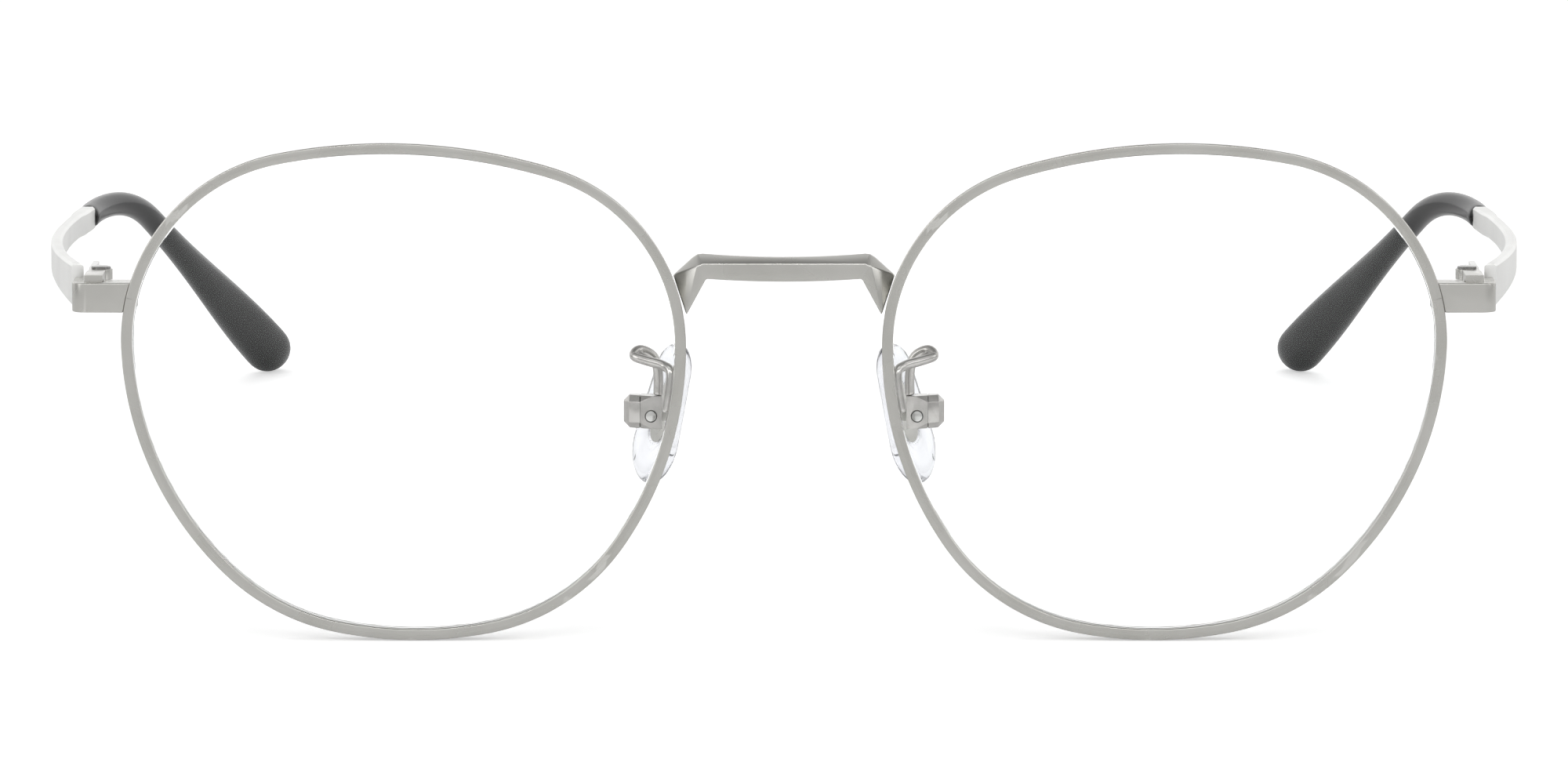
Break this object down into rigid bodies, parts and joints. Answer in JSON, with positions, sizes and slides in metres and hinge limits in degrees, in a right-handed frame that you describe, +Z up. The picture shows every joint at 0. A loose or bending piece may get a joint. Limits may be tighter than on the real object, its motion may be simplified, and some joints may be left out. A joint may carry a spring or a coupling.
{
  "type": "eyeglasses",
  "caption": "Round wire-rim eyeglasses with a flat bridge, clear lenses, rocking nose pads and temples that fold on barrel hinges.",
  "frame": {"origin": "centre of the bounding box's footprint, on the table the glasses stand on with the temples open", "axes": "+X to the wearer's left, +Y from the front towards the temple tips, +Z up; the lenses face -Y and lean back a few degrees because the tips rest on the table"},
  "size_m": [0.1478, 0.1408, 0.0479],
  "materials": {
    "satin_front_metal": "satin silver plating over drawn nickel-alloy wire",
    "bright_temple_metal": "bright silver plating, slightly brushed lengthways",
    "screw_steel": "turned steel, slotted heads",
    "clear_lens": "clear polished lens with an anti-reflection coat",
    "black_tip": "polished black acetate",
    "clear_silicone": "clear moulded silicone, smooth"
  },
  "bodies": {
    "front": {"bridge": "satin_front_metal", "right_rim": "satin_front_metal", "right_lens": "clear_lens", "right_end_piece": "satin_front_metal", "right_upper_block": "satin_front_metal", "right_lower_block": "satin_front_metal", "right_block_screw": "screw_steel", "right_front_hinge": "satin_front_metal", "right_hinge_screw": "screw_steel", "right_pad_arm": "satin_front_metal", "right_pad_box": "satin_front_metal", "right_pad_screw": "screw_steel", "left_rim": "satin_front_metal", "left_lens": "clear_lens", "left_end_piece": "satin_front_metal", "left_upper_block": "satin_front_metal", "left_lower_block": "satin_front_metal", "left_block_screw": "screw_steel", "left_front_hinge": "satin_front_metal", "left_hinge_screw": "screw_steel", "left_pad_arm": "satin_front_metal", "left_pad_box": "satin_front_metal", "left_pad_screw": "screw_steel"},
    "right_temple": {"right_temple": "bright_temple_metal", "right_temple_tip": "black_tip", "right_temple_hinge": "bright_temple_metal"},
    "right_pad": {"right_pad_core": "satin_front_metal", "right_nose_pad": "clear_silicone"},
    "left_temple": {"left_temple": "bright_temple_metal", "left_temple_tip": "black_tip", "left_temple_hinge": "bright_temple_metal"},
    "left_pad": {"left_pad_core": "satin_front_metal", "left_nose_pad": "clear_silicone"}
  },
  "joints": [
    {"name": "right_temple_fold", "type": "hinge", "parent": "front", "child": "right_temple", "pos_m": [-0.0659, -0.06094, 0.03258], "axis": [0, -0.0715, -0.9974], "range_deg": [0, 85]},
    {"name": "left_temple_fold", "type": "hinge", "parent": "front", "child": "left_temple", "pos_m": [0.0659, -0.06094, 0.03258], "axis": [0, 0.0715, 0.9974], "range_deg": [0, 79]},
    {"name": "right_pad_rock", "type": "hinge", "parent": "front", "child": "right_pad", "pos_m": [-0.01285, -0.06375, 0.02075], "axis": [0, 0.9974, -0.0715], "range_deg": [-8, 8]},
    {"name": "left_pad_rock", "type": "hinge", "parent": "front", "child": "left_pad", "pos_m": [0.01285, -0.06375, 0.02075], "axis": [0, 0.9974, -0.0715], "range_deg": [-8, 8]}
  ]
}
